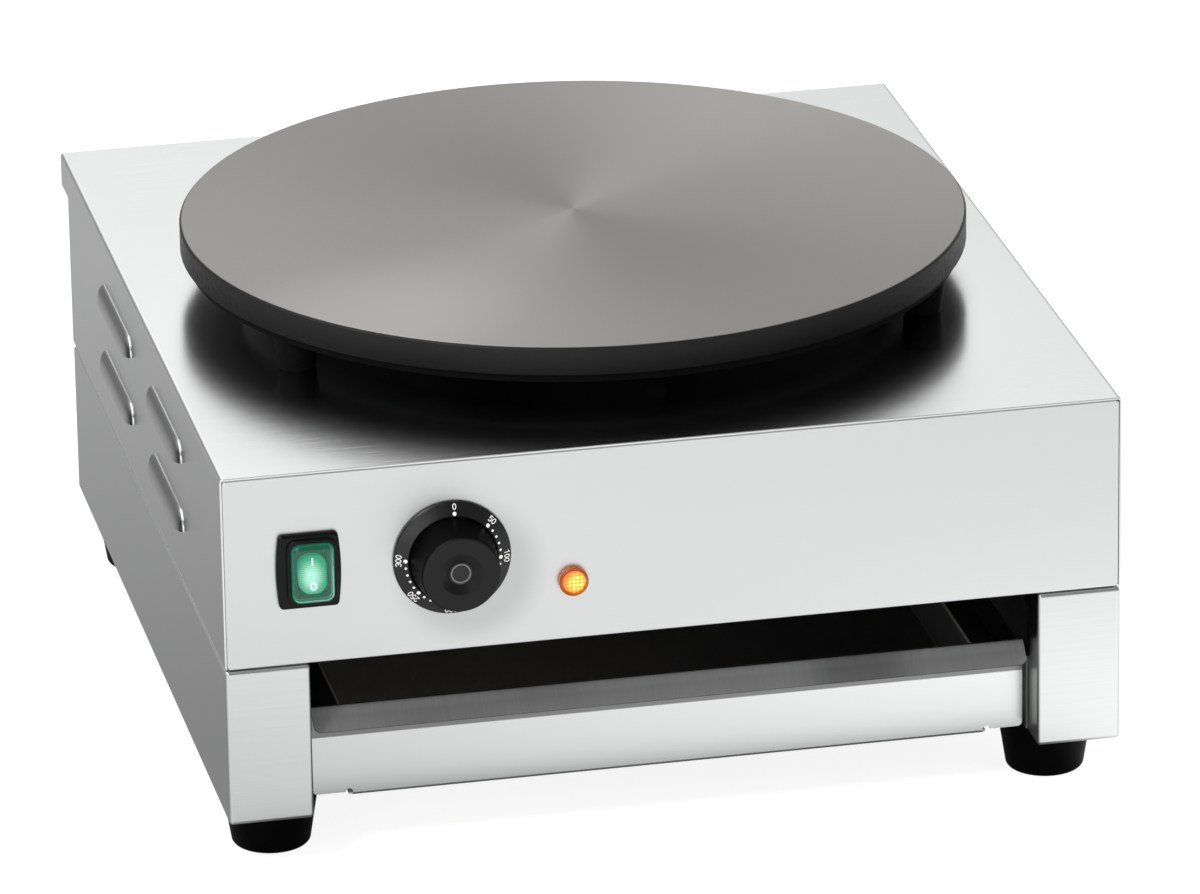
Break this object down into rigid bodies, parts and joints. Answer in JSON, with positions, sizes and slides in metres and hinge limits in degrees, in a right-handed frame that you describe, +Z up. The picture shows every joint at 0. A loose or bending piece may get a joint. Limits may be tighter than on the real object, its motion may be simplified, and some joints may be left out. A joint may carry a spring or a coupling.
{
  "type": "electric crepe maker",
  "caption": "Countertop electric crepe maker: round griddle plate on a louvred steel housing with thermostat dial, rocker switch, pilot lamp and a slide-out drip drawer.",
  "frame": {"origin": "on the standing surface, at the middle of the bounding box", "axes": "+X to the user's right, +Y to the rear, +Z up; the dial, switch and drawer face -Y"},
  "size_m": [0.458, 0.513, 0.246],
  "materials": {
    "stainless": "brushed",
    "plain_steel": "mill finish",
    "screws": "bright zinc",
    "cast_plate": "ground and seasoned",
    "heater_sheath": "dull oxide",
    "insulation": "fibre mat",
    "ceramic": "unglazed",
    "copper": "drawn copper",
    "thermostat_case": "moulded",
    "dial_black": "satin moulded",
    "dial_disc": "satin insert",
    "switch_black": "moulded",
    "clear_cap": "clear soft cover",
    "green_key": "lit, translucent",
    "blades": "tinned",
    "amber_lens": "lit, faceted",
    "gland_black": "moulded",
    "rubber": "moulded",
    "terminal_white": "moulded",
    "lead_sleeve": "glass sleeve"
  },
  "bodies": {
    "chassis": {"housing_shell": "stainless", "front_panel": "stainless", "rear_panel": "stainless", "base_rail_right": "stainless", "base_rail_left": "stainless", "rear_base_panel": "stainless", "housing_floor": "plain_steel", "drawer_runner_right": "plain_steel", "drawer_runner_left": "plain_steel", "drawer_stops": "plain_steel", "runner_rivets": "plain_steel", "element_cover": "plain_steel", "terminal_screws": "plain_steel", "plate_washers": "plain_steel", "plate_nuts": "plain_steel", "plate_studs": "plain_steel", "cover_screws": "plain_steel", "earth_stud": "plain_steel", "foot_nuts": "plain_steel", "rear_panel_screws": "screws", "base_screws": "screws", "foot_screws": "screws", "thermostat_screws": "screws", "cooking_plate": "cast_plate", "heating_element": "heater_sheath", "insulation_pad": "insulation", "lead_bushes": "ceramic", "thermostat_bulb": "copper", "capillary_tube": "copper", "thermostat_body": "thermostat_case", "switch_frame": "switch_black", "lamp_body": "switch_black", "lamp_nut": "switch_black", "switch_cap": "clear_cap", "switch_terminals": "blades", "lamp_lens": "amber_lens", "gland_body": "gland_black", "gland_cap": "gland_black", "gland_locknut": "gland_black", "foot_front_left": "rubber", "foot_front_right": "rubber", "foot_rear_left": "rubber", "foot_rear_right": "rubber", "gland_seal": "rubber", "terminal_block": "terminal_white", "wiring": "lead_sleeve"},
    "drawer": {"drawer_front": "stainless", "drawer_pan": "stainless"},
    "dial": {"dial_skirt": "dial_black", "knob_hub": "dial_black", "knob_cap": "dial_disc", "thermostat_shaft": "plain_steel"},
    "key": {"switch_rocker": "green_key"}
  },
  "joints": [
    {"name": "drawer_slide", "type": "slide", "parent": "chassis", "child": "drawer", "axis": [0, -1, 0], "range_m": [0, 0.36]},
    {"name": "dial_turn", "type": "hinge", "parent": "chassis", "child": "dial", "pos_m": [-0.1117, -0.2315, 0.1592], "axis": [0, -1, 0], "range_deg": [0, 270]},
    {"name": "rocker_tip", "type": "hinge", "parent": "chassis", "child": "key", "pos_m": [-0.1812, -0.2309, 0.1578], "axis": [1, 0, 0], "range_deg": [0, 16]}
  ]
}
